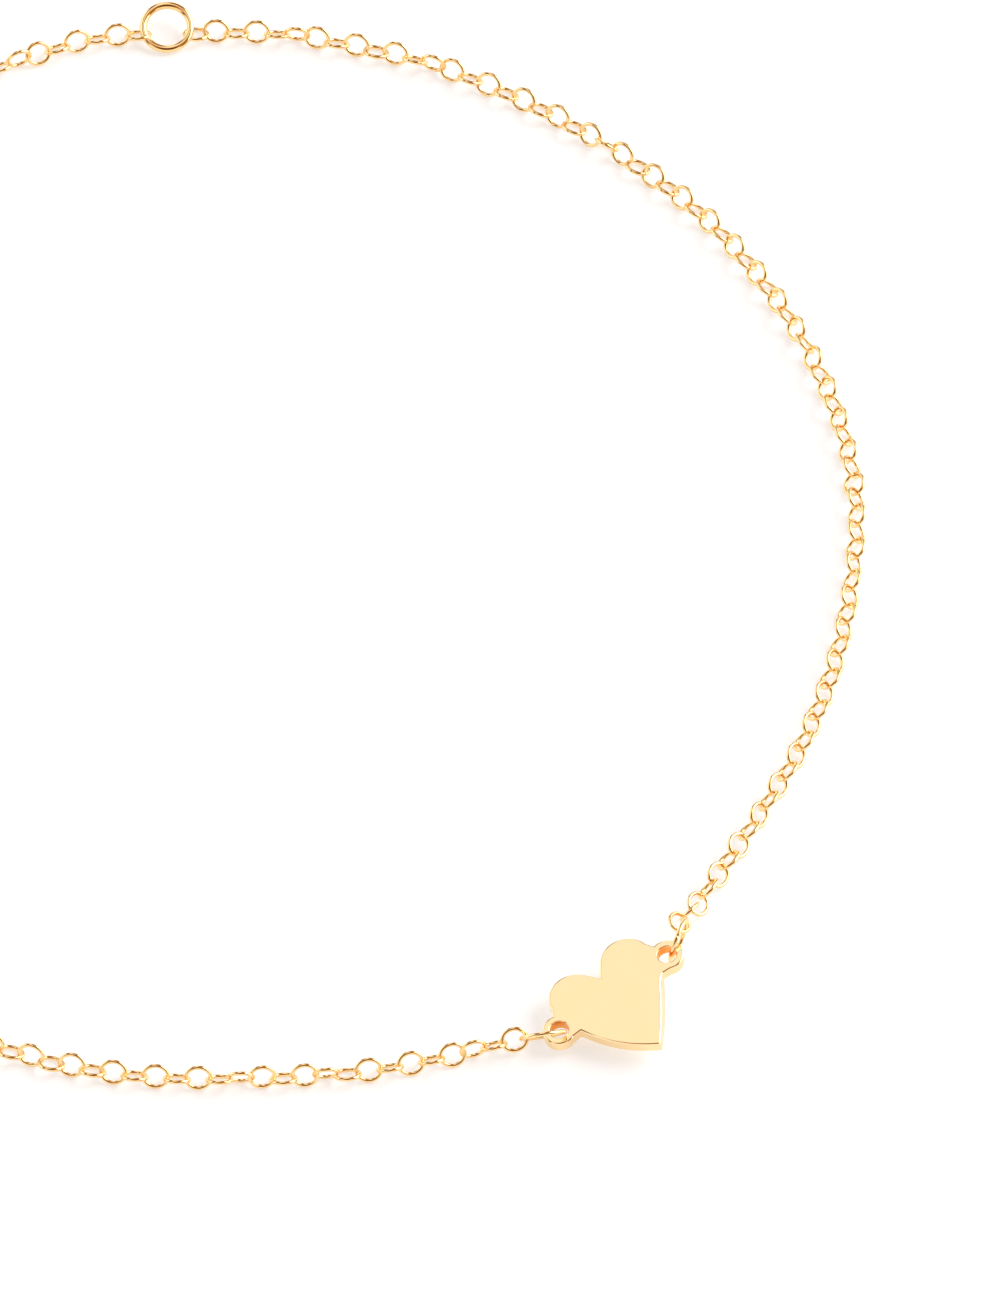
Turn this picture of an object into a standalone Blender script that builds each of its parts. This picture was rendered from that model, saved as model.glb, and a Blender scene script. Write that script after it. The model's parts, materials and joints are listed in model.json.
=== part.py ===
"""A fine gold-plated necklace: a flat heart plate between two arms of cable chain, lying open on a table.

The necklace lies in the XY plane with its underside at z = 0. The heart plate has a lug at each side, a jump ring
hangs in each lug, and a chain arm leads away from each ring. One arm ends in a lobster clasp. The other holds an
adjuster ring and ends in an end ring, so that the clasp can close the necklace at two lengths.

A chain arm is made in runs. The links of a run are joined where they touch, and the last link of a run hangs
loose in the first link of the next one, which is where the chain bends.
"""

import math

import bmesh
import bpy
from mathutils import Matrix, Vector

MM = 0.001

# The measures below are from the middle of the circle that the chain follows. This puts the whole necklace's
# middle on the Z axis and its lowest point at z = 0.
TO_FRAME = Matrix.Translation(Vector((7.5475, -0.991, 0.03)) * MM)

# Heart plate. Its outline is in its own plane, with the middle of the line between the lug holes at the origin.
PLATE_THICKNESS = 1.2 * MM
PLATE_EDGE_RADIUS = 0.2 * MM
PLATE_CENTRE = Vector((41.98, -57.88, 2.51)) * MM
PLATE_HEADING, PLATE_PITCH, PLATE_ROLL = 36.2, 4.5, -6.5
NOTCH_Y, TIP_Y = 2.17 * MM, -7.8 * MM
LOBE_CENTRE, LOBE_RADIUS = Vector((3.3, 1.9)) * MM, 2.5 * MM
LOBE_END_DEG = 9
LUG_CENTRE_X, LUG_RADIUS, LUG_HOLE_RADIUS = 6.6 * MM, 1.65 * MM, 0.95 * MM
LUG_START_DEG, LUG_END_DEG = 104, -116
SIDE_START = Vector((5.05, -1.45)) * MM
SIDE_BULGE = 0.25 * MM

# Jump rings that hang in the lugs and in the clasp, each with a fine cut.
JUMP_RING_DIAMETER, JUMP_RING_WIRE = 4.8 * MM, 0.45 * MM
CLASP_RING_DIAMETER, CLASP_RING_WIRE, CLASP_RING_LEAN = 3.8 * MM, 0.5 * MM, 20
JUMP_RING_CUT = 0.08 * MM
JUMP_RING_POINTS = 24
LEFT_RING_CENTRE = Vector((35.05, -62.45, 2.08)) * MM
LEFT_RING_ALONG, LEFT_RING_NORMAL = Vector((0.988, 0.121, 0.095)), Vector((-0.153, 0.826, 0.542))
RIGHT_RING_CENTRE = Vector((48.34, -51.78, 3.31)) * MM
RIGHT_RING_ALONG, RIGHT_RING_NORMAL = Vector((0.352, 0.738, 0.577)), Vector((0.927, -0.359, -0.107))

# Closed rings in the arm without the clasp.
CLOSED_RING_DIAMETER, CLOSED_RING_WIRE = 5.65 * MM, 0.72 * MM
CLOSED_RING_SEGMENTS, CLOSED_RING_SIDES = 24, 8
ADJUSTER_CENTRE, ADJUSTER_TILT = Vector((-3.39, 67.08, 1.25)) * MM, 18
END_RING_TILT = 4

# Cable chain. A link's wire is drawn with a square section of the round wire's area.
LINK_LENGTH, LINK_WIDTH, LINK_WIRE = 2.75 * MM, 2.45 * MM, 0.32 * MM
LINK_CORNERS = 8
LINK_ROLL, UNTWIST_LINKS = 45, 8
RIGHT_FIRST_ROLL, EXTENSION_FIRST_ROLL, LEFT_FIRST_ROLL = 20, 45, -33
LINK_PITCH = 2.1 * MM
SLACK_AT_BEND = 0.21 * MM
CHAIN_HEIGHT = 0.97 * MM
WIRE_GAP, REST_GAP = 0.15 * MM, 0.02 * MM

# The middle line of each chain arm in millimetres, from the link at the heart outwards.
RIGHT_ROUTE = (
    (49.0, -49.62, 1.64), (49.5, -47.75, 1.2), (50.3, -45.7, 1.2), (53.4, -40.2, 1.12), (57.4, -32.9), (61.5, -24.1),
    (64.9, -12.4), (66.6, 1.8), (65.6, 12.8), (62.4, 23.6), (57.3, 33.9), (51.3, 42.4), (43.2, 50.3),
    (33.1, 57.6), (22.3, 62.9), (11.2, 65.9), (5.0, 66.6), (-0.42, 66.7),
)
EXTENSION_ROUTE = ((-6.34, 66.4), (-12.1, 65.4), (-20.0, 62.2), (-30.0, 57.6), (-41.0, 50.7))
LEFT_ROUTE = (
    (32.32, -62.47, 1.36), (30.4, -62.95, 1.12), (26.2, -64.1), (18.2, -65.9), (8.3, -66.8), (-2.1, -66.7),
    (-10.3, -65.4), (-17.7, -63.1), (-34.0, -56.6), (-50.5, -46.4), (-64.0, -32.6), (-73.8, -15.0),
    (-79.2, 5.0), (-80.6, 25.0), (-80.0, 43.5),
)
RIGHT_RUNS, EXTENSION_RUNS, LEFT_RUNS = 8, 2, 10

# Lobster clasp, lying flat. Its outline is in its own plane, with the eye at the origin and its length along +Y.
CLASP_HEIGHT = 1.0 * MM
CLASP_HEADING = -8
CLASP_EYE_SHIFT = 0.09 * MM
EYE_RADIUS, EYE_WIRE = 1.15 * MM, 0.38 * MM
BODY_MIDDLE, BODY_SIZE = Vector((0.0, 2.75, 0.0)) * MM, Vector((3.4, 2.9, 1.9)) * MM
BODY_EDGE_RADIUS = 0.35 * MM
HOOK_MIDDLE, HOOK_HALF_WIDTH, HOOK_HALF_LENGTH = Vector((0.0, 6.1, 0.0)) * MM, 2.05 * MM, 3.35 * MM
HOOK_WIRE, HOOK_START_DEG, HOOK_END_DEG, HOOK_POINTS = 1.2 * MM, -62, 142, 16
SLOT_SIZE, SLOT_MIDDLE = Vector((2.6, 3.4, 0.9)) * MM, Vector((-0.95, 3.2, 0.0)) * MM
LEVER_THICKNESS = 0.5 * MM
LEVER_OUTLINE = (
    (-0.35, 1.9), (-0.45, 3.3), (-1.0, 5.0), (-1.15, 6.9), (-1.75, 6.95), (-2.05, 5.4), (-2.5, 4.6),
    (-3.3, 3.9), (-3.2, 3.4), (-2.2, 3.3), (-1.7, 2.5), (-1.2, 1.9),
)
PIVOT = Vector((-1.05, 2.75, 0.0)) * MM
PIN_RADIUS, PIN_LENGTH, PIN_CLEARANCE = 0.3 * MM, 1.8 * MM, 0.06 * MM
SPRING_ROUTE = ((0.02, 1.75), (0.02, 2.5), (-0.08, 3.4))
SPRING_WIRE = 0.18 * MM

GOLD = (0.96, 0.72, 0.36, 1.0)
PALE_GOLD = (1.0, 0.80, 0.46, 1.0)
STEEL = (0.62, 0.60, 0.57, 1.0)

parts = bpy.data.collections.new("pendant_necklace")
helpers = bpy.data.collections.new("cutters")


def clear_scene():
    """Removes whatever the scene holds and links the two collections."""
    for obj in list(bpy.data.objects):
        bpy.data.objects.remove(obj, do_unlink=True)
    for collection in (parts, helpers):
        bpy.context.scene.collection.children.link(collection)


def metal(name, colour, roughness):
    """A plain metal material."""
    material = bpy.data.materials.new(name)
    material.use_nodes = True
    shader = material.node_tree.nodes["Principled BSDF"]
    shader.inputs["Base Color"].default_value = colour
    shader.inputs["Metallic"].default_value = 1.0
    shader.inputs["Roughness"].default_value = roughness
    return material


def frame(origin, x_axis, z_axis):
    """A matrix that puts a shape's X along x_axis and its Z as near z_axis as that allows."""
    x = Vector(x_axis).normalized()
    y = Vector(z_axis).cross(x).normalized()
    z = x.cross(y)
    return Matrix.Translation(origin) @ Matrix((x, y, z)).transposed().to_4x4()


def wire(name, points, diameter, cyclic=False, bevel_resolution=2):
    """A round wire along points, as a mesh with closed ends."""
    curve = bpy.data.curves.new(name, "CURVE")
    curve.dimensions = "3D"
    curve.bevel_depth = diameter / 2
    curve.bevel_resolution = bevel_resolution
    curve.use_fill_caps = not cyclic
    spline = curve.splines.new("POLY")
    spline.points.add(len(points) - 1)
    for point, place in zip(spline.points, points):
        point.co = (*place, 1.0)
    spline.use_cyclic_u = cyclic
    return curve_mesh(name, curve)


def plate(name, outline, holes, thickness):
    """A flat outline with holes, thickness thick, as a mesh."""
    curve = bpy.data.curves.new(name, "CURVE")
    curve.dimensions = "2D"
    curve.fill_mode = "BOTH"
    curve.extrude = thickness / 2
    for points in (outline, *holes):
        spline = curve.splines.new("POLY")
        spline.points.add(len(points) - 1)
        for point, place in zip(spline.points, points):
            point.co = (place[0], place[1], 0.0, 1.0)
        spline.use_cyclic_u = True
    return curve_mesh(name, curve)


def curve_mesh(name, curve):
    """The mesh that a curve makes, with its caps welded on."""
    guide = bpy.data.objects.new(name, curve)
    helpers.objects.link(guide)
    mesh = bpy.data.meshes.new_from_object(guide.evaluated_get(bpy.context.evaluated_depsgraph_get()))
    bpy.data.objects.remove(guide)
    bm = bmesh.new()
    bm.from_mesh(mesh)
    bmesh.ops.remove_doubles(bm, verts=bm.verts, dist=1e-7)
    bmesh.ops.recalc_face_normals(bm, faces=bm.faces)
    bm.to_mesh(mesh)
    bm.free()
    return mesh


def box_mesh(name, size):
    """A box centred on the origin."""
    bm = bmesh.new()
    bmesh.ops.create_cube(bm, size=1.0, matrix=Matrix.Diagonal((*size, 1.0)))
    return finished(name, bm)


def rod_mesh(name, radius, length, sides=12):
    """A cylinder along Z, centred on the origin."""
    bm = bmesh.new()
    bmesh.ops.create_cone(bm, cap_ends=True, segments=sides, radius1=radius, radius2=radius, depth=length)
    return finished(name, bm)


def finished(name, bm):
    mesh = bpy.data.meshes.new(name)
    bm.to_mesh(mesh)
    bm.free()
    return mesh


def add_part(name, mesh, material, matrix, smooth=True):
    """An object of the necklace. Its matrix puts its own origin on its joint."""
    obj = bpy.data.objects.new(name, mesh)
    parts.objects.link(obj)
    mesh.materials.clear()
    mesh.materials.append(material)
    if smooth:
        mesh.shade_smooth()
        mesh.set_sharp_from_angle(angle=math.radians(40))
    obj.matrix_world = TO_FRAME @ matrix
    return obj


def add_helper(name, mesh, matrix):
    """An object that only cuts or joins others."""
    obj = bpy.data.objects.new(name, mesh)
    helpers.objects.link(obj)
    obj.matrix_world = TO_FRAME @ matrix
    obj.hide_render = True
    obj.display_type = "WIRE"
    return obj


def combine(obj, operation, other):
    """Adds a Boolean to obj."""
    modifier = obj.modifiers.new(other.name, "BOOLEAN")
    modifier.operation = operation
    modifier.object = other


def arc(centre, radius, start_deg, end_deg, steps):
    """Points along a circular arc."""
    angles = [math.radians(start_deg + (end_deg - start_deg) * k / steps) for k in range(steps + 1)]
    return [Vector((centre[0] + radius * math.cos(a), centre[1] + radius * math.sin(a))) for a in angles]


def bulged(start, end, bulge, steps):
    """Points from start to end along a shallow curve that stands out by bulge at its middle, without end."""
    run = end - start
    out = Vector((run.y, -run.x)).normalized()
    shares = [k / steps for k in range(steps)]
    return [start + run * s - out * bulge * 4 * s * (1 - s) for s in shares]


# ---------------------------------------------------------------- heart plate

def heart_half():
    """The right half of the heart's outline, from the notch round the lobe and the lug to the tip."""
    notch = Vector((0.0, NOTCH_Y))
    to_lobe = LOBE_CENTRE - notch
    touch = math.degrees(math.atan2(to_lobe.y, to_lobe.x) + math.pi - math.acos(LOBE_RADIUS / to_lobe.length))
    lobe = arc(LOBE_CENTRE, LOBE_RADIUS, touch, LOBE_END_DEG, 12)
    lug = arc((LUG_CENTRE_X, 0.0), LUG_RADIUS, LUG_START_DEG, LUG_END_DEG, 14)
    side = bulged(SIDE_START, Vector((0.0, TIP_Y)), -SIDE_BULGE, 6)
    return [notch, *lobe, *lug, *side]


def plate_matrix():
    """Where the heart plate lies: turned on the table, then tipped so that its right lug stands higher."""
    turn = Matrix.Rotation(math.radians(PLATE_HEADING), 4, "Z")
    pitch = Matrix.Rotation(math.radians(PLATE_PITCH), 4, "X")
    roll = Matrix.Rotation(math.radians(PLATE_ROLL), 4, "Y")
    return Matrix.Translation(PLATE_CENTRE) @ roll @ pitch @ turn


def heart_plate(gold):
    right = heart_half()
    left = [Vector((-p.x, p.y)) for p in reversed(right[1:])]
    holes = [arc((side * LUG_CENTRE_X, 0.0), LUG_HOLE_RADIUS, 0, 345, 23) for side in (-1, 1)]
    outline = [*right, Vector((0.0, TIP_Y)), *left]
    obj = add_part("heart_plate", plate("heart_plate", outline, holes, PLATE_THICKNESS), gold, plate_matrix())
    bevel = obj.modifiers.new("rounded edge", "BEVEL")
    bevel.width = PLATE_EDGE_RADIUS
    bevel.segments = 2
    bevel.limit_method = "ANGLE"
    bevel.angle_limit = math.radians(60)


# ---------------------------------------------------------------- rings

def jump_ring(name, diameter, thickness, matrix, gold, cut_deg):
    """An open ring of round wire in its own XY plane, with a fine cut at cut_deg."""
    radius = (diameter - thickness) / 2
    half_cut = math.degrees(JUMP_RING_CUT / 2 / radius)
    points = arc((0.0, 0.0), radius, cut_deg + half_cut, cut_deg + 360 - half_cut, JUMP_RING_POINTS)
    return add_part(name, wire(name, [p.to_3d() for p in points], thickness), gold, matrix)


def closed_ring(name, matrix, gold):
    """A plain closed ring in its own XY plane."""
    bpy.ops.mesh.primitive_torus_add(
        major_radius=(CLOSED_RING_DIAMETER - CLOSED_RING_WIRE) / 2,
        minor_radius=CLOSED_RING_WIRE / 2,
        major_segments=CLOSED_RING_SEGMENTS,
        minor_segments=CLOSED_RING_SIDES,
    )
    made = bpy.context.object
    mesh = made.data
    bpy.data.objects.remove(made)
    return add_part(name, mesh, gold, matrix)


# ---------------------------------------------------------------- chain

def link_mesh():
    """One oval link in its XY plane, long along X, with its corners clear of the two ends."""
    grow = 1 / math.cos(math.pi / LINK_CORNERS)
    half_length, half_width = (LINK_LENGTH - LINK_WIRE) / 2 * grow, (LINK_WIDTH - LINK_WIRE) / 2 * grow
    angles = [(k + 0.5) * 2 * math.pi / LINK_CORNERS for k in range(LINK_CORNERS)]
    points = [Vector((half_length * math.cos(a), half_width * math.sin(a), 0.0)) for a in angles]
    corner_to_corner = LINK_WIRE * math.sqrt(math.pi / 2)
    return wire("link", points, corner_to_corner, cyclic=True, bevel_resolution=0)


def smooth_route(points, steps=24):
    """A smooth line through hand-placed points in millimetres: (place, length so far) along it, in metres."""
    places = [Vector((*p, CHAIN_HEIGHT / MM) if len(p) == 2 else p) * MM for p in points]
    ends = [places[0] * 2 - places[1], *places, places[-1] * 2 - places[-2]]
    line = []
    for a, b, c, d in zip(ends, ends[1:], ends[2:], ends[3:]):
        for k in range(steps):
            t = k / steps
            line.append(
                0.5 * (2 * b + (c - a) * t + (2 * a - 5 * b + 4 * c - d) * t**2 + (3 * b - a - 3 * c + d) * t**3)
            )
    line.append(places[-1])
    lengths = [0.0]
    for before, after in zip(line, line[1:]):
        lengths.append(lengths[-1] + (after - before).length)
    return line, lengths


def on_route(line, lengths, distance):
    """(place, direction) at a distance along a route."""
    index = next(k for k, length in enumerate(lengths[1:], 1) if length >= distance - 1e-9)
    before, after = line[index - 1], line[index]
    share = (distance - lengths[index - 1]) / (lengths[index] - lengths[index - 1])
    return before.lerp(after, share), (after - before).normalized()


def split_evenly(count, groups):
    """The sizes of groups that share count links as evenly as they can."""
    return [count * (k + 1) // groups - count * k // groups for k in range(groups)]


def link_stations(route, runs):
    """For each run of an arm, the (place, direction) of its links."""
    line, lengths = smooth_route(route)
    slack = SLACK_AT_BEND * (runs - 1)
    count = round((lengths[-1] + slack) / LINK_PITCH) + 1
    pitch = (lengths[-1] + slack) / (count - 1)
    stations, distance = [], 0.0
    for size in split_evenly(count, runs):
        stations.append([on_route(line, lengths, distance + k * pitch) for k in range(size)])
        distance += size * pitch - SLACK_AT_BEND
    return stations


def joined_links(name, link, frames):
    """One mesh of a link repeated at each frame."""
    bm = bmesh.new()
    for matrix in frames:
        copy = link.copy()
        copy.transform(matrix)
        bm.from_mesh(copy)
        bpy.data.meshes.remove(copy)
    return finished(name, bm)


def link_roll(index, first_roll):
    """How far a link is rolled about the chain: a quarter turn from its neighbour, easing off from first_roll."""
    side = math.copysign(LINK_ROLL, first_roll)
    easing = max(0.0, 1 - index / UNTWIST_LINKS)
    return math.radians(side * (-1) ** index + (first_roll - side) * easing)


def chain_arm(name, route, runs, first_roll, link, gold):
    """The runs of one arm."""
    index = 0
    for number, stations in enumerate(link_stations(route, runs), 1):
        frames = []
        for place, direction in stations:
            tip = Matrix.Rotation(link_roll(index, first_roll), 3, direction) @ Vector((0.0, 0.0, 1.0))
            frames.append(frame(place, direction, tip))
            index += 1
        joint = Matrix.Translation(stations[0][0] - stations[0][1] * (LINK_PITCH - SLACK_AT_BEND) / 2)
        local = [joint.inverted() @ matrix for matrix in frames]
        run_name = f"{name}_{number}"
        run = add_part(run_name, joined_links(run_name, link, local[0::2]), gold, joint, smooth=False)
        between = add_helper(f"{run_name}_between", joined_links("between", link, local[1::2]), joint)
        combine(run, "UNION", between)


def hook_reach(ring_wire):
    """From the middle of a ring's wire to the middle of the link that hangs on it."""
    return LINK_LENGTH / 2 - LINK_WIRE * (0.5 + math.sqrt(math.pi / 8)) - ring_wire / 2 - WIRE_GAP


# ---------------------------------------------------------------- clasp

def clasp_places():
    """Where the clasp's leaning ring stands, and where the clasp lies with its eye on the ring's far side."""
    end, along = arm_end(LEFT_ROUTE)
    lean = math.radians(CLASP_RING_LEAN)
    normal = Matrix.Rotation(-lean, 3, along) @ Vector((0, 0, 1)).cross(along)
    radius = (CLASP_RING_DIAMETER - CLASP_RING_WIRE) / 2
    drop = radius - (CLASP_HEIGHT - CLASP_RING_WIRE / 2 - REST_GAP) / math.cos(lean)
    half_chord = math.sqrt(radius**2 - drop**2)
    below_middle = end + along * (hook_reach(CLASP_RING_WIRE) + half_chord)
    below_middle.z = CLASP_HEIGHT
    eye = below_middle + along * (half_chord - CLASP_EYE_SHIFT)
    heading = Matrix.Rotation(math.radians(CLASP_HEADING), 4, "Z")
    ring = frame(below_middle + along.cross(normal) * drop, along, normal)
    return ring, Matrix.Translation(eye) @ heading


def clasp(matrix, gold, steel):
    """The clasp's body with its eye and hook, the lever that closes the hook, its pin and its spring."""
    body = add_part("clasp_body", box_mesh("clasp_body", BODY_SIZE), gold, matrix)
    body.data.transform(Matrix.Translation(BODY_MIDDLE))
    bevel = body.modifiers.new("rounded edge", "BEVEL")
    bevel.width = BODY_EDGE_RADIUS
    bevel.segments = 2
    bevel.limit_method = "ANGLE"
    angles = [HOOK_START_DEG + (HOOK_END_DEG - HOOK_START_DEG) * k / HOOK_POINTS for k in range(HOOK_POINTS + 1)]
    hook = [
        HOOK_MIDDLE + Vector((HOOK_HALF_WIDTH * math.cos(a), HOOK_HALF_LENGTH * math.sin(a), 0.0))
        for a in map(math.radians, angles)
    ]
    eye = [p.to_3d() for p in arc((0.0, 0.0), EYE_RADIUS, 0, 345, 23)]
    combine(body, "UNION", add_helper("hook", wire("hook", hook, HOOK_WIRE), matrix))
    combine(body, "UNION", add_helper("eye", wire("eye", eye, 2 * EYE_WIRE, cyclic=True), matrix))
    slot = add_helper("lever_slot", box_mesh("lever_slot", SLOT_SIZE), matrix @ Matrix.Translation(SLOT_MIDDLE))
    combine(body, "DIFFERENCE", slot)
    at_pivot = matrix @ Matrix.Translation(PIVOT)
    bore_radius = PIN_RADIUS + PIN_CLEARANCE
    bore = add_helper("pin_bore", rod_mesh("pin_bore", bore_radius, 3 * PIN_LENGTH), at_pivot)
    combine(body, "DIFFERENCE", bore)

    outline = [Vector(p) * MM - PIVOT.to_2d() for p in LEVER_OUTLINE]
    hole = arc((0.0, 0.0), bore_radius, 0, 330, 11)
    add_part("clasp_lever", plate("clasp_lever", outline, [hole], LEVER_THICKNESS), gold, at_pivot)
    add_part("clasp_pin", rod_mesh("clasp_pin", PIN_RADIUS, PIN_LENGTH), gold, at_pivot)
    spring = [Vector((*p, 0.0)) * MM for p in SPRING_ROUTE]
    add_part("clasp_spring", wire("clasp_spring", spring, SPRING_WIRE), steel, matrix)


# ---------------------------------------------------------------- the necklace

def main():
    clear_scene()
    mirror_gold = metal("polished_gold_plate", GOLD, 0.08)
    gold = metal("gold_plated_wire", PALE_GOLD, 0.18)
    steel = metal("spring_steel", STEEL, 0.3)

    heart_plate(mirror_gold)
    left_ring = frame(LEFT_RING_CENTRE, LEFT_RING_ALONG, LEFT_RING_NORMAL)
    right_ring = frame(RIGHT_RING_CENTRE, RIGHT_RING_ALONG, RIGHT_RING_NORMAL)
    jump_ring("heart_ring_left", JUMP_RING_DIAMETER, JUMP_RING_WIRE, left_ring, gold, 80)
    jump_ring("heart_ring_right", JUMP_RING_DIAMETER, JUMP_RING_WIRE, right_ring, gold, 80)

    link = link_mesh()
    chain_arm("chain_right", RIGHT_ROUTE, RIGHT_RUNS, RIGHT_FIRST_ROLL, link, gold)
    chain_arm("chain_extension", EXTENSION_ROUTE, EXTENSION_RUNS, EXTENSION_FIRST_ROLL, link, gold)
    chain_arm("chain_left", LEFT_ROUTE, LEFT_RUNS, LEFT_FIRST_ROLL, link, gold)

    closed_ring("adjuster_ring", frame(ADJUSTER_CENTRE, (1, 0, 0), tilted(ADJUSTER_TILT)), gold)
    end, along = arm_end(EXTENSION_ROUTE)
    reach = hook_reach(CLOSED_RING_WIRE) + (CLOSED_RING_DIAMETER - CLOSED_RING_WIRE) / 2
    closed_ring("end_ring", frame(end + along * reach, along, tilted(END_RING_TILT)), gold)

    ring_place, clasp_place = clasp_places()
    jump_ring("clasp_ring", CLASP_RING_DIAMETER, CLASP_RING_WIRE, ring_place, gold, 90)
    clasp(clasp_place, gold, steel)


def tilted(degrees):
    """The normal of a ring whose far side is lifted by an angle."""
    return Matrix.Rotation(math.radians(degrees), 3, "X") @ Vector((0.0, 0.0, 1.0))


def arm_end(route):
    """The place and direction of an arm's last link."""
    line, _ = smooth_route(route)
    return line[-1], (line[-1] - line[-2]).normalized()


main()
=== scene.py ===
"""The looks of a fine gold-plated necklace: a polished heart plate on a cable chain, laid out on a pale table.

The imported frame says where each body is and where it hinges. Each class below is one sub-assembly of the necklace:
it holds its sizes in millimetres, models its pieces and hands each one to the body that it moves with.
"""

from __future__ import annotations

import json
import logging
import math
import random
import sys
from collections.abc import Callable, Iterator, Sequence
from contextlib import contextmanager
from dataclasses import dataclass, field
from enum import Enum
from typing import Any

import bmesh
import bpy
from mathutils import Matrix, Vector


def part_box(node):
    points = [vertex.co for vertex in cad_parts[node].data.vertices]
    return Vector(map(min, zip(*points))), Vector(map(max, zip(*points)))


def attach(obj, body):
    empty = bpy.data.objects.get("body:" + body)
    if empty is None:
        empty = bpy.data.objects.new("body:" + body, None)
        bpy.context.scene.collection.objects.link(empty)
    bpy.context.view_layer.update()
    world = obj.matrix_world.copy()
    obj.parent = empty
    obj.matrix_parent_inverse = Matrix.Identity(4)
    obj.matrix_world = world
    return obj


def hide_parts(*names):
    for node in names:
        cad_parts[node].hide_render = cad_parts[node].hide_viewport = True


MM = 0.001

# How near two places in millimetres are to count as one.
TOUCHING = 0.001

# The numbers of a colour Mix node's sockets, whose names are shared with its other types.
MIX_SHARE, MIX_FIRST, MIX_SECOND, MIX_RESULT = 0, 6, 7, 2

# The chain follows a circle round this point. Every place below is measured from it, in millimetres.
CIRCLE_MIDDLE = Vector((7.5475, -0.991, 0.03))

log = logging.getLogger("necklace")
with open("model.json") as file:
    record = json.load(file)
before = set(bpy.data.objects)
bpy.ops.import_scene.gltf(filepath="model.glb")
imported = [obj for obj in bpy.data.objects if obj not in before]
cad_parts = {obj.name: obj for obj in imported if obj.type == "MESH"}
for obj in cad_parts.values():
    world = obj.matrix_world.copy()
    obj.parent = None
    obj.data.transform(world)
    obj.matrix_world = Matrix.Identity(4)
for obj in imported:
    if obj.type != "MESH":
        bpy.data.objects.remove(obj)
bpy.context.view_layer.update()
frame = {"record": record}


# ------------------------------------------------------------------------------------------------ bench tools


def deselect() -> None:
    """Deselects every object, so that an operator acts on nothing left over."""
    bpy.ops.object.select_all(action="DESELECT")


def activate(obj: bpy.types.Object) -> None:
    """Makes an object the only selected one and the active one.

    Args:
        obj: The object.
    """
    deselect()
    obj.select_set(True)
    bpy.context.view_layer.objects.active = obj


def new_piece(name: str) -> bpy.types.Object:
    """Names the object that an operator has just added.

    Args:
        name: The piece's name.

    Returns:
        The object, with its mesh or curve named after it.
    """
    obj = bpy.context.view_layer.objects.active
    obj.name = obj.data.name = name
    return obj


@contextmanager
def editing(obj: bpy.types.Object, domain: str = "VERT") -> Iterator[bmesh.types.BMesh]:
    """Opens an object in edit mode with nothing selected, and leaves edit mode at the end.

    Args:
        obj: The mesh object to edit.
        domain: VERT, EDGE or FACE.

    Returns:
        The edit mesh.
    """
    activate(obj)
    bpy.ops.object.mode_set(mode="EDIT")
    bpy.ops.mesh.select_mode(type=domain)
    bpy.ops.mesh.select_all(action="DESELECT")
    yield bmesh.from_edit_mesh(obj.data)
    bpy.ops.object.mode_set(mode="OBJECT")


def pick(obj: bpy.types.Object, elements: Sequence[Any], wanted: Callable[[Any], bool]) -> None:
    """Selects the vertices, edges or faces that a test names, and nothing else.

    Args:
        obj: The mesh object in edit mode.
        elements: The vertices, edges or faces to choose from.
        wanted: The test.
    """
    for element in elements:
        element.select_set(wanted(element))
    bmesh.update_edit_mesh(obj.data)


def modify(obj: bpy.types.Object, kind: str, **settings: Any) -> None:
    """Adds a modifier with its settings and applies it.

    Args:
        obj: The mesh object.
        kind: The modifier's type.
        settings: The modifier's own properties.
    """
    modifier = obj.modifiers.new(kind.lower(), kind)
    for key, value in settings.items():
        setattr(modifier, key, value)
    activate(obj)
    bpy.ops.object.modifier_apply(modifier=modifier.name)


def combine(obj: bpy.types.Object, operation: str, other: bpy.types.Object) -> None:
    """Adds another solid to a piece, or cuts it out of the piece, and clears it away.

    Args:
        obj: The piece.
        operation: UNION or DIFFERENCE.
        other: The other solid.
    """
    modify(obj, "BOOLEAN", operation=operation, object=other, solver="EXACT")
    bpy.data.objects.remove(other)


def merge(obj: bpy.types.Object) -> None:
    """Merges the doubles of a closed piece and turns its faces outwards.

    Args:
        obj: The piece.
    """
    with editing(obj):
        bpy.ops.mesh.select_all(action="SELECT")
        bpy.ops.mesh.remove_doubles(threshold=TOUCHING)
        bpy.ops.mesh.normals_make_consistent(inside=False)


def stamped(name: str, outline: Sequence[Sequence[float]], thickness: float) -> bpy.types.Object:
    """Stamps a flat piece out of sheet.

    Args:
        name: The piece's name.
        outline: Its outline.
        thickness: The sheet's thickness, half of it below the outline and half above.

    Returns:
        The piece.
    """
    bpy.ops.mesh.primitive_circle_add(vertices=len(outline), radius=1.0, fill_type="NGON")
    piece = new_piece(name)
    with editing(piece) as mesh:
        for vertex, (x, y) in zip(mesh.verts, outline):
            vertex.co = (x, y, -thickness / 2)
        bpy.ops.mesh.select_all(action="SELECT")
        bpy.ops.mesh.extrude_region_move(TRANSFORM_OT_translate={"value": (0.0, 0.0, thickness)})
        bpy.ops.mesh.select_all(action="SELECT")
        bpy.ops.mesh.normals_make_consistent(inside=False)
    return piece


def settle(obj: bpy.types.Object, place: Matrix) -> bpy.types.Object:
    """Moves a piece's mesh, made in millimetres, to its place and leaves its object at the origin.

    Args:
        obj: The piece.
        place: Where its own axes lie, in millimetres round the middle of the chain's circle.

    Returns:
        The piece.
    """
    obj.data.transform(Matrix.Scale(MM, 4) @ Matrix.Translation(CIRCLE_MIDDLE) @ place @ obj.matrix_basis)
    obj.matrix_basis = Matrix.Identity(4)
    return obj


def smooth(obj: bpy.types.Object, degrees: float = 35) -> None:
    """Shades a piece smooth except across edges sharper than an angle."""
    activate(obj)
    bpy.ops.object.shade_smooth_by_angle(angle=math.radians(degrees))


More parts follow.
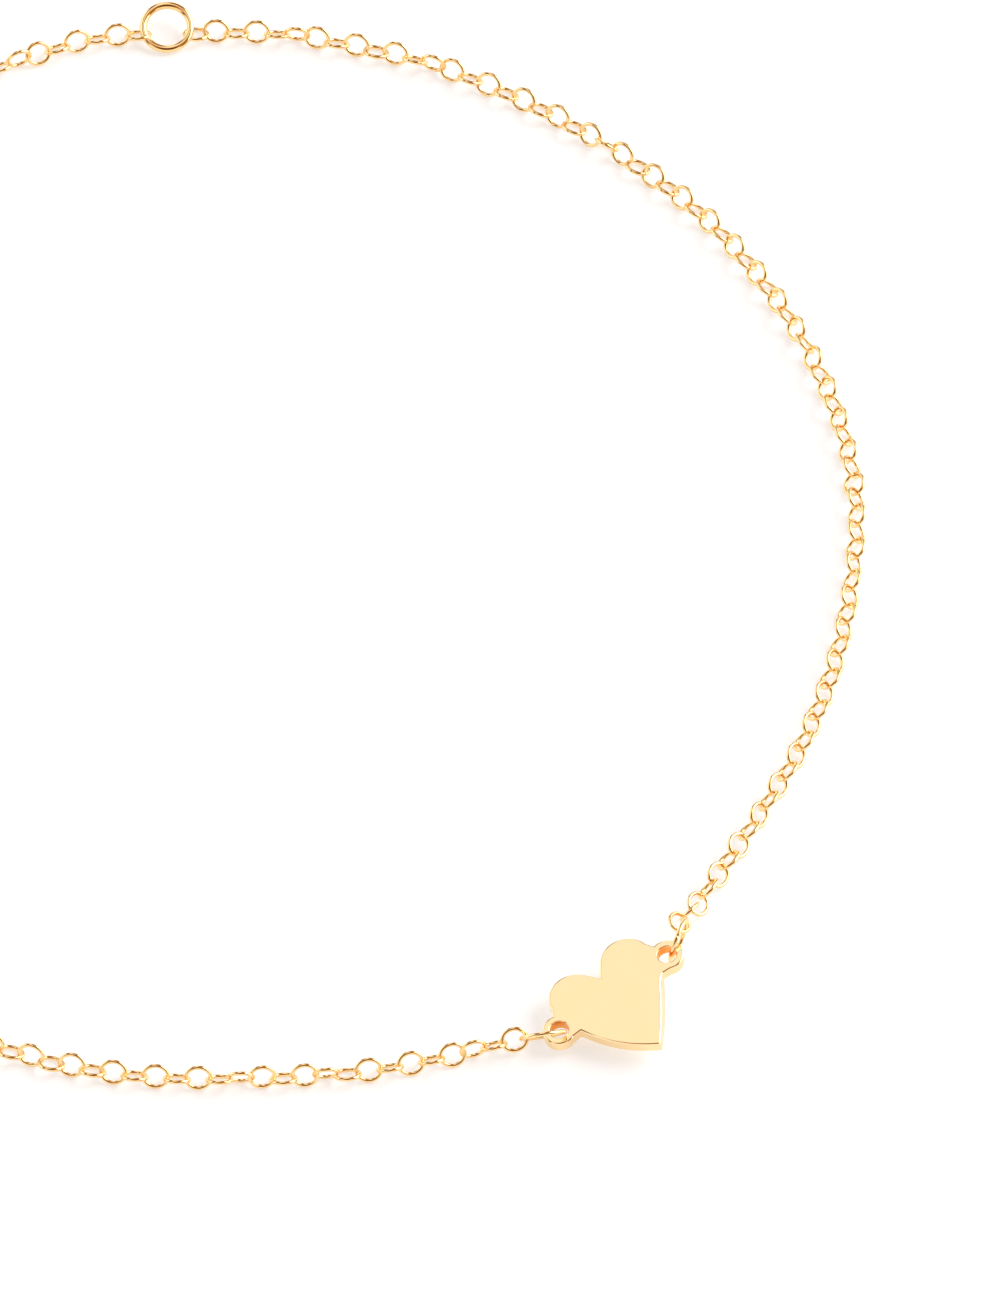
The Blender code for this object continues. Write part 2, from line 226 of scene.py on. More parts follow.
def copy_of(obj: bpy.types.Object, name: str) -> bpy.types.Object:
    """Copies a piece, mesh and all.

    Args:
        obj: The piece.
        name: The copy's name.

    Returns:
        The copy, with a mesh of its own.
    """
    twin = obj.copy()
    twin.data = obj.data.copy()
    twin.name = twin.data.name = name
    bpy.context.collection.objects.link(twin)
    return twin


def joined(objs: Sequence[bpy.types.Object], name: str) -> bpy.types.Object:
    """Joins several pieces.

    Args:
        objs: The pieces.
        name: The whole's name.

    Returns:
        The one piece that they make.
    """
    activate(objs[0])
    for obj in objs:
        obj.select_set(True)
    bpy.ops.object.join()
    return new_piece(name)


def axes(origin: Vector, x_axis: Vector, z_axis: Vector) -> Matrix:
    """Works out a place from its middle and two directions.

    Args:
        origin: Its middle.
        x_axis: The direction of its X.
        z_axis: The direction that its Z comes as near to as its X allows.

    Returns:
        The place.
    """
    x = x_axis.normalized()
    y = z_axis.cross(x).normalized()
    return Matrix.Translation(origin) @ Matrix((x, y, x.cross(y))).transposed().to_4x4()


def turned(degrees: float, axis: str | Vector) -> Matrix:
    """A turn about an axis."""
    return Matrix.Rotation(math.radians(degrees), 4, axis)


def arc(centre: Vector, radius: float, start: float, end: float, steps: int) -> list[Vector]:
    """Points on a circular arc.

    Args:
        centre: The arc's centre.
        radius: Its radius.
        start: The first point's angle in degrees.
        end: The last point's angle in degrees.
        steps: How many steps the arc takes.

    Returns:
        The points, steps + 1 of them.
    """
    angles = [math.radians(start + (end - start) * k / steps) for k in range(steps + 1)]
    return [centre + Vector((math.cos(a), math.sin(a))) * radius for a in angles]


def in_frame(joint: str) -> Vector:
    """A joint's place, in millimetres round the middle of the chain's circle."""
    found = next(j for j in frame["record"]["behaviour"]["joints"] if j["name"] == joint)
    return Vector(found["pos_m"]) / MM - CIRCLE_MIDDLE


def in_local(place: Matrix, joint: str) -> Vector:
    """Gives a joint's place in the axes of a piece that lies at place."""
    return place.inverted() @ in_frame(joint)


def box_middle(node: str) -> Vector:
    """The middle of a node's box, in millimetres round the middle of the chain's circle."""
    low, high = (Vector(corner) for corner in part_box(node))
    return (low + high) / 2 / MM - CIRCLE_MIDDLE


# ------------------------------------------------------------------------------------------------ finishes


def linear(hex_colour: str) -> tuple[float, float, float, float]:
    """Turns an sRGB hex colour into the linear values that a shader takes.

    Args:
        hex_colour: The colour, such as #FFE3B2.

    Returns:
        Red, green, blue and a full alpha.
    """
    parts = (int(hex_colour[k : k + 2], 16) / 255 for k in (1, 3, 5))
    r, g, b = (c / 12.92 if c <= 0.04045 else ((c + 0.055) / 1.055) ** 2.4 for c in parts)
    return r, g, b, 1.0


def add_node(tree: bpy.types.NodeTree, kind: str, inputs: dict[Any, Any], **settings: Any) -> bpy.types.Node:
    """Adds a node with its settings and links.

    Args:
        tree: The node tree.
        kind: The node's type.
        inputs: For each input, by name or number, its value or the output that feeds it.
        settings: The node's own properties.

    Returns:
        The node.
    """
    node = tree.nodes.new(kind)
    for key, value in settings.items():
        setattr(node, key, value)
    for key, value in inputs.items():
        if isinstance(value, bpy.types.NodeSocket):
            tree.links.new(value, node.inputs[key])
        else:
            node.inputs[key].default_value = value
    return node


@dataclass(frozen=True)
class Finish:
    """A surface finish of one of the necklace's metals.

    Attributes:
        name: The material's name.
        tint: The metal's colour where the plating is thin.
        deep_tint: Its colour where the plating is thick.
        roughness: The lowest and the highest roughness.
        cloud_mm: The size of the patches in which the plating's colour changes.
        haze_mm: The size of the patches in which the polish changes.
        grain_mm: The spacing of the fine marks along and across the piece.
        grain_depth_mm: The depth of those marks.
    """

    name: str
    tint: str
    deep_tint: str
    roughness: tuple[float, float]
    cloud_mm: float
    haze_mm: float
    grain_mm: tuple[float, float, float]
    grain_depth_mm: float

    def material(self) -> bpy.types.Material:
        """Makes the finish as a node material, once for all pieces.

        Returns:
            The material.
        """
        made = bpy.data.materials.get(self.name)
        if made:
            return made
        made = bpy.data.materials.new(self.name)
        made.use_nodes = True
        tree = made.node_tree
        shader = tree.nodes["Principled BSDF"]
        shader.inputs["Metallic"].default_value = 1.0
        place = add_node(tree, "ShaderNodeTexCoord", {}).outputs["Object"]
        millimetres = add_node(tree, "ShaderNodeMapping", {"Vector": place, "Scale": (1 / MM,) * 3})
        cloud = add_node(
            tree, "ShaderNodeTexNoise", {"Vector": millimetres.outputs[0], "Scale": 1 / self.cloud_mm, "Detail": 2.0}
        )
        plating = add_node(
            tree, "ShaderNodeMix",
            {MIX_SHARE: cloud.outputs[0], MIX_FIRST: linear(self.tint), MIX_SECOND: linear(self.deep_tint)},
            data_type="RGBA",
        )
        tree.links.new(plating.outputs[MIX_RESULT], shader.inputs["Base Color"])
        haze = add_node(
            tree, "ShaderNodeTexNoise", {"Vector": millimetres.outputs[0], "Scale": 1 / self.haze_mm, "Detail": 3.0}
        )
        polish = add_node(
            tree, "ShaderNodeMapRange",
            {"Value": haze.outputs[0], "To Min": self.roughness[0], "To Max": self.roughness[1]},
        )
        tree.links.new(polish.outputs[0], shader.inputs["Roughness"])
        marks = add_node(
            tree, "ShaderNodeMapping", {"Vector": place, "Scale": tuple(1 / (MM * g) for g in self.grain_mm)}
        )
        grain = add_node(tree, "ShaderNodeTexNoise", {"Vector": marks.outputs[0], "Scale": 1.0, "Detail": 1.0})
        relief = add_node(
            tree, "ShaderNodeBump",
            {"Height": grain.outputs[0], "Distance": self.grain_depth_mm * MM, "Strength": 1.0},
        )
        tree.links.new(relief.outputs[0], shader.inputs["Normal"])
        return made


# Every fine mark below is really a few hundredths of a millimetre wide. They are drawn coarser, so that they show.

# Gold-plated brass stamping, pickled and buffed to a mirror: a clean reflection, with the faint haze of the buff.
MIRROR_GOLD = Finish("buffed_gold_plated_brass", "#FFE3B2", "#FFE1AC", (0.05, 0.10), 4.0, 1.5, (0.25, 2.5, 2.5), 0.0002)
# The same plating on the walls of the punched holes, which no buff reaches, so satin; its deeper orange is painted
# reflection, standing in for the gold-on-gold reflections inside the holes.
PUNCHED_GOLD = Finish("punched_gold_plated_brass", "#FFB566", "#F5A24E", (0.25, 0.40), 2.0, 0.4, (0.3, 0.3, 0.3), 0.002)
# Gold-plated drawn brass wire, barrel-tumbled: bright, a touch softer than the plate, with faint drawing marks.
WIRE_GOLD = Finish("gold_plated_drawn_wire", "#FFE0AA", "#FFD592", (0.10, 0.18), 5.0, 0.8, (0.4, 0.4, 0.4), 0.0006)
# Gold-plated zinc casting of the clasp: tumbled, so its skin is a little wavy.
CAST_GOLD = Finish("gold_plated_zinc_casting", "#FFE0AA", "#FFD592", (0.12, 0.22), 3.0, 0.9, (0.7, 0.7, 0.7), 0.0015)
# Cold-drawn spring steel wire: grey, with a satin drawn skin.
SPRING_STEEL = Finish("drawn_spring_steel", "#C9C5BE", "#B9B4AC", (0.25, 0.35), 2.0, 0.5, (0.2, 0.2, 0.2), 0.001)


class Slot(Enum):
    """The record's material slots."""

    PLATE = "polished_gold_plate"
    WIRE = "gold_plated_wire"
    STEEL = "spring_steel"


def hand_over(obj: bpy.types.Object, body: str, nodes: Sequence[str], slot: Slot, *finishes: Finish) -> None:
    """Dresses a finished piece and gives it to its body.

    Args:
        obj: The finished piece.
        body: The body that it moves with.
        nodes: The CAD nodes that it stands for.
        slot: The material slot that it belongs to; not used.
        finishes: Its finish, and any other that some of its faces take.
    """
    for finish in finishes:
        obj.data.materials.append(finish.material())
    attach(obj, body)
    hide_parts(*nodes)
    log.info("%s: %d faces on %s", obj.name, len(obj.data.polygons), body)


# ------------------------------------------------------------------------------------------------ heart plate


@dataclass
class HeartPlate:
    """The stamped heart plate with a lug at each side, drawn face up round its middle with its tip towards -Y.

    Attributes:
        face_height: How high its face stands over its middle.
        side_draft: How far the right side of the face stands in from the back.
        heading: How far it is turned on the table, in degrees.
        pitch: How far it is tipped about X.
        roll: How far it is tipped about Y.
        lobe_end: The angle at which a lobe runs into its lug, in degrees.
        lug_arc: The angles at which the right lug starts and ends.
        side_start: Where the right side leaves its lug.
        side_bulges: How full the left and the right side are.
        side_reach: How far from the straight line down the right side a point still counts as on it.
    """

    thickness: float = 1.34
    face_height: float = 0.6
    edge_radius: float = 0.28
    hole_edge_radius: float = 0.1
    side_draft: float = 0.4
    middle: Vector = Vector((41.98, -57.88, 2.51))
    heading: float = 36.2
    pitch: float = 4.5
    roll: float = -6.5
    notch: Vector = Vector((0.0, 2.17))
    tip: Vector = Vector((0.0, -7.8))
    lobe_centre: Vector = Vector((3.15, 1.95))
    lobe_radius: float = 2.65
    lobe_end: float = 9.0
    lobe_steps: int = 30
    lug_centre: Vector = Vector((6.6, 0.0))
    lug_radius: float = 1.65
    lug_arc: tuple[float, float] = (104.0, -116.0)
    lug_steps: int = 36
    hole_radius: float = 0.95
    hole_steps: int = 48
    side_start: Vector = Vector((5.05, -1.45))
    side_bulges: tuple[float, float] = (0.64, 0.22)
    side_reach: float = 0.6

    def place(self) -> Matrix:
        """Works out where the plate lies.

        Returns:
            Its place: turned on the table, then tipped on its rings.
        """
        tipped = turned(self.roll, "Y") @ turned(self.pitch, "X") @ turned(self.heading, "Z")
        raised = Matrix.Translation((0, 0, self.face_height - self.thickness / 2))
        return Matrix.Translation(self.middle) @ tipped @ raised

    def side(self, bulge: float, steps: int = 14) -> list[Vector]:
        """Draws the heart's slightly full right side.

        Args:
            bulge: How far its middle stands out.
            steps: How many steps it takes.

        Returns:
            The points from the lug to the tip.
        """
        run = self.tip - self.side_start
        out = Vector((-run.y, run.x)).normalized()
        shares = [k / steps for k in range(steps + 1)]
        return [self.side_start + run * s + out * bulge * 4 * s * (1 - s) for s in shares]

    def draft(self, place: Vector) -> Vector:
        """Works out how far the face's edge stands in from the back's.

        Only the right side is drafted: over its first eighth the draft grows, and then it eases towards the tip.

        Args:
            place: A point on the outline.

        Returns:
            The shift of that point.
        """
        run = self.tip - self.side_start
        out = Vector((-run.y, run.x)).normalized()
        along = (place - self.side_start).dot(run) / run.length_squared
        on_side = abs((place - self.side_start).dot(out)) < self.side_reach and -0.01 < along
        share = min(1.0, along * 8 + 0.1) * (1 - 0.75 * along)
        return -out * self.side_draft * share if on_side else Vector((0, 0))

    def outline(self) -> list[Vector]:
        """Draws the plate's outline.

        Returns:
            Its points, from the notch clockwise.
        """
        to_lobe = self.lobe_centre - self.notch
        touch = math.degrees(
            math.atan2(to_lobe.y, to_lobe.x) + math.pi - math.acos(self.lobe_radius / to_lobe.length)
        )
        lobe = arc(self.lobe_centre, self.lobe_radius, touch, self.lobe_end, self.lobe_steps)
        lug = arc(self.lug_centre, self.lug_radius, *self.lug_arc, self.lug_steps)
        left, right = ([*lobe, *lug, *self.side(bulge)] for bulge in self.side_bulges)
        return [self.notch, *right, *(Vector((-p.x, p.y)) for p in reversed(left[:-1]))]

    def build(self) -> None:
        """Stamps the plate, rounds its edges and lays it in place."""
        plate = stamped("heart_plate_stamping", self.outline(), self.thickness)
        with editing(plate) as mesh:
            for vertex in (v for v in mesh.verts if v.co.z > 0):
                vertex.co.xy += self.draft(vertex.co.xy)
        modify(
            plate, "BEVEL", width=self.edge_radius, segments=6, limit_method="ANGLE", angle_limit=math.radians(50)
        )
        for side in (-1, 1):
            self.punch(plate, side)
        smooth(plate, 40)
        modify(plate, "WEIGHTED_NORMAL", keep_sharp=True, weight=100)
        hand_over(settle(plate, self.place()), "heart_plate", ["heart_plate"], Slot.PLATE, MIRROR_GOLD, PUNCHED_GOLD)

    def punch(self, plate: bpy.types.Object, side: int) -> None:
        """Punches the hole of one lug, rounds its rims and gives its wall the second finish, whose deeper orange is
        painted reflection.

        Args:
            plate: The plate.
            side: -1 for the left lug, 1 for the right one.
        """
        bpy.ops.mesh.primitive_cylinder_add(
            vertices=self.hole_steps, radius=self.hole_radius, depth=self.thickness * 3,
            location=(side * self.lug_centre.x, 0, 0),
        )
        combine(plate, "DIFFERENCE", new_piece("hole_punch"))
        with editing(plate, "EDGE") as mesh:
            pick(plate, mesh.edges, lambda e: self.rims_hole(e, side))
            bpy.ops.mesh.bevel(offset=self.hole_edge_radius, segments=5, profile=0.5)
        with editing(plate, "FACE") as mesh:
            # The hole's wall takes the second finish: satin, with painted gold-on-gold reflection in its deeper orange.
            for face in (f for f in mesh.faces if self.lines_hole(f, side)):
                face.material_index = 1
            bmesh.update_edit_mesh(plate.data)

    def lines_hole(self, face: bmesh.types.BMFace, side: int) -> bool:
        """Tells whether a face is on the upright wall of one lug's hole."""
        middle = Vector((side * self.lug_centre.x, 0))
        return abs(face.normal.z) < 0.1 and (face.calc_center_median().xy - middle).length < self.hole_radius + 0.01

    def rims_hole(self, edge: bmesh.types.BMEdge, side: int) -> bool:
        """Tells whether an edge lies on the rim of one lug's hole, on either face of the plate.

        Args:
            edge: The edge.
            side: -1 for the left lug, 1 for the right one.

        Returns:
            Whether it does.
        """
        middle = Vector((side * self.lug_centre.x, 0))
        on_wall = all(abs((v.co.xy - middle).length - self.hole_radius) < 0.01 for v in edge.verts)
        flat = abs(edge.verts[0].co.z - edge.verts[1].co.z) < TOUCHING
        return on_wall and flat and abs(abs(edge.verts[0].co.z) - self.thickness / 2) < TOUCHING


# ------------------------------------------------------------------------------------------------ rings


@dataclass
class WireRing:
    """A ring of round wire, open with a fine cut or closed.

    Attributes:
        name: The CAD node that it stands for.
        body: The body that it moves with.
        diameter: Its outside diameter.
        wire: Its wire's diameter.
        place: Where it lies, wound round its Z.
        cut: How wide its cut is, or 0 where it is closed.
        cut_at: Where its cut is, in degrees.
    """

    name: str
    body: str
    diameter: float
    wire: float
    place: Matrix
    cut: float = 0.0
    cut_at: float = 90.0
    steps: int = 56
    wire_sides: int = 16

    def build(self) -> None:
        """Winds the ring, rounds the ends at its cut and lays it in place."""
        radius = (self.diameter - self.wire) / 2
        gap = math.degrees(self.cut / radius)
        bpy.ops.mesh.primitive_circle_add(
            vertices=self.wire_sides, radius=self.wire / 2, fill_type="NGON" if self.cut else "NOTHING",
            location=(radius, 0, 0), rotation=(math.pi / 2, 0, 0),
        )
        ring = new_piece(f"{self.name}_wire")
        bpy.ops.object.transform_apply(location=True, rotation=True, scale=True)
        with editing(ring):
            bpy.ops.mesh.select_all(action="SELECT")
            bpy.ops.mesh.spin(
                steps=self.steps, angle=math.radians(360 - gap), center=(0, 0, 0), axis=(0, 0, 1), dupli=False
            )
        merge(ring)
        if self.cut:
            modify(ring, "BEVEL", width=self.wire * 0.1, segments=2, limit_method="ANGLE", angle_limit=1.0)
        smooth(ring, 50)
        ring.matrix_basis = turned(self.cut_at + gap / 2, "Z")
        hand_over(settle(ring, self.place), self.body, [self.name], Slot.WIRE, WIRE_GOLD)


# ------------------------------------------------------------------------------------------------ chain


@dataclass
class CableLink:
    """One soldered oval link of round wire.

    Attributes:
        length: Its outside length.
        width: Its outside width.
        wire: Its wire's diameter.
        ring_shrink: What one subdivision leaves of the ring of faces round the link.
        wire_shrink: What it leaves of the wire's own thickness.
    """

    length: float = 2.9
    width: float = 2.6
    wire: float = 0.44
    ring_shrink: float = 0.981
    wire_shrink: float = 0.875

    def model(self) -> bpy.types.Object:
        """Models the link once, flat on the origin and long along X, for every copy of it.

        Returns:
            The link.
        """
        half_width = (self.width - self.wire) / 2
        stretch = (self.length - self.width) / 2
        bpy.ops.mesh.primitive_torus_add(
            major_segments=16, minor_segments=6, major_radius=half_width / self.ring_shrink,
            minor_radius=self.wire / 2 / self.wire_shrink,
        )
        link = new_piece("cable_link")
        with editing(link) as mesh:
            for vertex in mesh.verts:
                vertex.co.x += stretch * vertex.co.x / vertex.co.xy.length
        modify(link, "SUBSURF", levels=1, render_levels=1)
        smooth(link, 80)
        return link


@dataclass
class Route:
    """The middle line of a chain arm, a smooth line through listed points.

    Attributes:
        points: The points. One without a height lies at the height of a link that rests on the table.
        height: That height.
        steps: How many steps the line takes from one point to the next.
        line: The line's points.
        lengths: How far along the line each of them is.
    """

    points: Sequence[tuple[float, ...]]
    height: float = 0.97
    steps: int = 24
    line: list[Vector] = field(init=False)
    lengths: list[float] = field(init=False)

    def __post_init__(self) -> None:
        """Draws the line and measures along it."""
        places = [Vector((*p, self.height) if len(p) == 2 else p) for p in self.points]
        ends = [places[0] * 2 - places[1], *places, places[-1] * 2 - places[-2]]
        self.line = []
        for a, b, c, d in zip(ends, ends[1:], ends[2:], ends[3:]):
            for t in (k / self.steps for k in range(self.steps)):
                cubic = 2 * b + (c - a) * t + (2 * a - 5 * b + 4 * c - d) * t**2 + (3 * b - a - 3 * c + d) * t**3
                self.line.append(cubic / 2)
        self.line.append(places[-1])
        self.lengths = [0.0]
        for before, after in zip(self.line, self.line[1:]):
            self.lengths.append(self.lengths[-1] + (after - before).length)

    def at(self, distance: float) -> tuple[Vector, Vector]:
        """Finds a distance along the line.

        Args:
            distance: The distance from the line's start.

        Returns:
            The place there, and the line's direction.
        """
        last = len(self.line) - 1
        index = next((k for k in range(1, last) if self.lengths[k] >= distance), last)
        before, after = self.line[index - 1], self.line[index]
        share = (distance - self.lengths[index - 1]) / (self.lengths[index] - self.lengths[index - 1])
        return before.lerp(after, share), (after - before).normalized()

    def nearest(self, place: Vector) -> float:
        """Finds where the line passes nearest a place.

        Args:
            place: The place.

        Returns:
            The distance along the line.
        """
        index = min(range(len(self.line)), key=lambda k: (self.line[k] - place).length_squared)
        _, direction = self.at(self.lengths[index])
        return self.lengths[index] + (place - self.line[index]).dot(direction)


@dataclass
class ChainArm:
    """One arm of the chain, in the runs that the frame bends.

    Attributes:
        name: The start of its runs' names.
        runs: How many runs it has.
        route: Its middle line.
        first_roll: How far its first link is turned about the line, in degrees.
        seed: What its links' small differences start from.
        joint: The name of the joint at which a run starts, with a place for its number.
        spacing: How far apart the links' middles are, about.
        roll: How far its resting links are turned, one way and then the other.
        lean: How much further they lean where the chain runs along X.
        strays: The numbers of the links that have turned out of step.
        stray_roll: How far such a link is turned.
        easing_links: Over how many links the first roll eases into the resting one.
        first_sway: The spread of the first link's roll.
        roll_sway: The spread of a resting link's roll.
        heading_sway: The spread of a link's heading.
        link: The link that it is made of.
    """

    name: str
    runs: int
    route: Route
    first_roll: float
    seed: int
    joint: str
    spacing: float = 2.065
    roll: float = 45.0
    lean: float = 14.0
    strays: tuple[int, ...] = ()
    stray_roll: float = 95.0
    easing_links: int = 8
    first_sway: float = 1.0
    roll_sway: float = 5.0
    heading_sway: float = 2.0
    link: CableLink = field(default_factory=CableLink)

    def stations(self) -> list[list[float]]:
        """How far along the route each link of each run lies.

        Returns:
            One list of distances for each run.
        """
        starts = [self.route.nearest(in_frame(self.joint.format(k))) for k in range(2, self.runs + 1)]
        marks = [0.0, *starts, self.route.lengths[-1]]
        out = []
        for number, (start, end) in enumerate(zip(marks, marks[1:])):
            lead = 0.0 if number == 0 else 0.5
            tail = 0.5 if number < self.runs - 1 else 0.0
            gaps = round((end - start) / self.spacing - lead - tail)
            step = (end - start) / (gaps + lead + tail)
            out.append([start + (lead + k) * step for k in range(gaps + 1)])
        return out

    def link_place(self, distance: float, index: int, chance: random.Random) -> Matrix:
        """Where one link lies: a quarter turn from its neighbour, resting on the table.

        Args:
            distance: How far along the route it lies.
            index: Its number along the arm.
            chance: The source of each link's small differences.

        Returns:
            Its place.
        """
        place, direction = self.route.at(distance)
        side = math.copysign(self.roll, self.first_roll)
        easing = max(0.0, 1 - index / self.easing_links)
        quarter_turns = index - sum(stray < index for stray in self.strays)
        roll = self.stray_roll if index in self.strays else side + 90 * quarter_turns
        roll += (self.first_roll - side + chance.gauss(0, self.first_sway)) * easing
        roll += self.lean * direction.x + chance.gauss(0, self.roll_sway) * (1 - easing)
        direction = turned(chance.gauss(0, self.heading_sway), "Z").to_3x3() @ direction
        normal = turned(roll, direction).to_3x3() @ Vector((0, 0, 1))
        at = axes(place, direction, normal)
        half_width = (self.link.width - self.link.wire) / 2
        lowest = half_width * math.sqrt(1 - min(1.0, at.col[2].z ** 2)) + self.link.wire / 2
        at.translation.z = lowest + max(0.0, place.z - self.route.height)
        return at

    def build(self, link: bpy.types.Object) -> None:
        """Lays out the arm's links, one piece for each run.

        Args:
            link: The link to copy.
        """
        chance = random.Random(self.seed)
        index = 0
        for number, distances in enumerate(self.stations(), 1):
            copies = []
            for distance in distances:
                copy = copy_of(link, "link")
                copy.data.transform(self.link_place(distance, index, chance))
                copies.append(copy)
                index += 1
            node = f"{self.name}_{number}"
            run = settle(joined(copies, f"{node}_links"), Matrix.Identity(4))
            hand_over(run, node, [node], Slot.WIRE, WIRE_GOLD)


# ------------------------------------------------------------------------------------------------ clasp


@dataclass
class LobsterClasp:
    """The lobster clasp, lying flat with its eye at its own origin and its hook along +Y."""

    heading: float = -8.0
    eye_radius: float = 1.15
    eye_wire: float = 0.38
    body_middle: Vector = Vector((0.0, 2.75, 0.0))
    body_size: Vector = Vector((3.4, 2.9, 1.9))
    hook_middle: Vector = Vector((0.0, 6.1, 0.0))
    hook_half: Vector = Vector((2.05, 3.35, 0.0))
    hook_wire: float = 1.2
    hook_arc: tuple[float, float] = (-62.0, 142.0)
    slot_size: Vector = Vector((2.6, 3.4, 0.9))
    slot_middle: Vector = Vector((-0.95, 3.2, 0.0))
    body_rounding: float = 0.5
    neck_share: tuple[float, float] = (0.72, 0.86)  # what is left of its width and height at the eye
    hook_steps: int = 30
    hook_taper: float = 0.22  # the share of its thickness that it loses
    hook_tip: tuple[float, float] = (0.955, 0.05)  # where along it the tip rounds, and over what share
    lever_thickness: float = 0.6
    lever_rounding: float = 0.1
    lever_outline: Sequence[tuple[float, float]] = (
        (-0.35, 1.9), (-0.42, 2.7), (-0.5, 3.4), (-0.8, 4.3), (-1.02, 5.2), (-1.12, 6.1), (-1.15, 6.9),
        (-1.4, 7.05), (-1.75, 6.95), (-1.95, 6.1), (-2.1, 5.3), (-2.45, 4.65), (-3.0, 4.2), (-3.35, 3.85),
        (-3.25, 3.45), (-2.75, 3.25), (-2.2, 3.2), (-1.85, 2.7), (-1.6, 2.2), (-1.15, 1.85), (-0.7, 1.75),
    )
    pin_radius: float = 0.3
    pin_length: float = 1.84
    pin_clearance: float = 0.05
    body_drill: float = 6.0
    lever_drill: float = 3.0
    pin_rounding: float = 0.12
    spring_route: Sequence[tuple[float, float]] = ((0.02, 1.75), (0.02, 2.5), (-0.08, 3.4))
    spring_wire: float = 0.24

    def place(self) -> Matrix:
        """Gives the clasp's place."""
        return Matrix.Translation(in_frame("clasp_turn")) @ turned(self.heading, "Z")

    def build(self) -> None:
        """Models the clasp's four pieces."""
        self.casting()
        self.lever()
        self.pin()
        self.spring()

    def casting(self) -> None:
        """Casts the body with its eye and its hook, then cuts the lever's slot and bores it for the pin."""
        bpy.ops.mesh.primitive_cube_add(size=1.0, location=self.body_middle, scale=self.body_size)
        body = new_piece("clasp_casting")
        bpy.ops.object.transform_apply(location=True, rotation=True, scale=True)
        with editing(body, "FACE") as mesh:
            pick(body, mesh.faces, lambda f: f.normal.y < -0.9)
            bpy.ops.transform.resize(value=(self.neck_share[0], 1.0, self.neck_share[1]))
        modify(body, "BEVEL", width=self.body_rounding, segments=5, limit_method="ANGLE", angle_limit=1.0)
        combine(body, "UNION", self.hook())
        combine(body, "UNION", self.eye())
        bpy.ops.mesh.primitive_cube_add(size=1.0, location=self.slot_middle, scale=self.slot_size)
        combine(body, "DIFFERENCE", new_piece("lever_slot"))
        combine(body, "DIFFERENCE", self.bore(self.body_drill))
        smooth(body, 42)
        hand_over(settle(body, self.place()), "clasp_body", ["clasp_body"], Slot.WIRE, CAST_GOLD)

    def bore(self, length: float) -> bpy.types.Object:
        """Makes the drill for the pin's bore.

        Args:
            length: Its length.

        Returns:
            A bar through the lever's pivot.
        """
        bpy.ops.mesh.primitive_cylinder_add(
            vertices=32, radius=self.pin_radius + self.pin_clearance, depth=length,
            location=in_local(self.place(), "clasp_lever_open"),
        )
        return new_piece("pin_bore")

    def hook(self) -> bpy.types.Object:
        """Makes the hook.

        Returns:
            A tapering round bar with a rounded tip.
        """
        points = [
            self.hook_middle + Vector((self.hook_half.x * p.x, self.hook_half.y * p.y, 0.0))
            for p in arc(Vector((0, 0)), 1.0, *self.hook_arc, self.hook_steps)
        ]
        radii = []
        for share in (k / self.hook_steps for k in range(self.hook_steps + 1)):
            into_tip = max(0.0, (share - self.hook_tip[0]) / self.hook_tip[1])
            radii.append((1 - self.hook_taper * share) * math.sqrt(1 - into_tip**2) * self.hook_wire / 2)
        return self.bar("clasp_hook", points, radii)

    @staticmethod
    def bar(name: str, points: Sequence[Vector], radii: Sequence[float]) -> bpy.types.Object:
        """Makes a round bar with a radius at each of its points.

        Args:
            name: Its name.
            points: The points along its middle.
            radii: Its radius at each point.

        Returns:
            The bar as a closed mesh.
        """
        curve = bpy.data.curves.new(name, "CURVE")
        curve.dimensions = "3D"
        curve.bevel_depth = 1.0
        curve.bevel_resolution = 4
        curve.use_fill_caps = True
        spline = curve.splines.new("POLY")
        spline.points.add(len(points) - 1)
        for point, place, radius in zip(spline.points, points, radii):
            point.co = (*place, 1.0)
            point.radius = radius
        obj = bpy.data.objects.new(name, curve)
        bpy.context.collection.objects.link(obj)
        activate(obj)
        bpy.ops.object.convert(target="MESH")
        merge(obj)
        return obj

    def eye(self) -> bpy.types.Object:
        """Makes the eye that the chain's ring passes through.

        Returns:
            The eye.
        """
        bpy.ops.mesh.primitive_torus_add(
            major_segments=40, minor_segments=16, major_radius=self.eye_radius, minor_radius=self.eye_wire
        )
        return new_piece("clasp_eye")

    def lever(self) -> None:
        """Stamps the lever that closes the hook, with its thumb nub, and bores it for the pin."""
        lever = stamped("clasp_lever_stamping", self.lever_outline, self.lever_thickness)
        combine(lever, "DIFFERENCE", self.bore(self.lever_drill))
        modify(
            lever, "BEVEL", width=self.lever_rounding, segments=3, limit_method="ANGLE", angle_limit=math.radians(50)
        )
        smooth(lever, 35)
        hand_over(settle(lever, self.place()), "clasp_lever", ["clasp_lever"], Slot.WIRE, CAST_GOLD)

    def pin(self) -> None:
        """Makes the rivet that the lever turns on, with its two domed ends."""
        bpy.ops.mesh.primitive_cylinder_add(
            vertices=32, radius=self.pin_radius, depth=self.pin_length, end_fill_type="NGON",
            location=in_local(self.place(), "clasp_lever_open"),
        )
        pin = new_piece("clasp_rivet")
        modify(pin, "BEVEL", width=self.pin_rounding, segments=4, limit_method="ANGLE", angle_limit=1.0)
        smooth(pin, 40)
        hand_over(settle(pin, self.place()), "clasp_body", ["clasp_pin"], Slot.WIRE, CAST_GOLD)

    def spring(self) -> None:
        """Bends the wire spring behind the lever."""
        points = [Vector((*p, 0.0)) for p in self.spring_route]
        spring = self.bar("clasp_spring_wire", points, [self.spring_wire / 2] * len(points))
        smooth(spring, 50)
        hand_over(settle(spring, self.place()), "clasp_body", ["clasp_spring"], Slot.STEEL, SPRING_STEEL)


# ------------------------------------------------------------------------------------------------ necklace


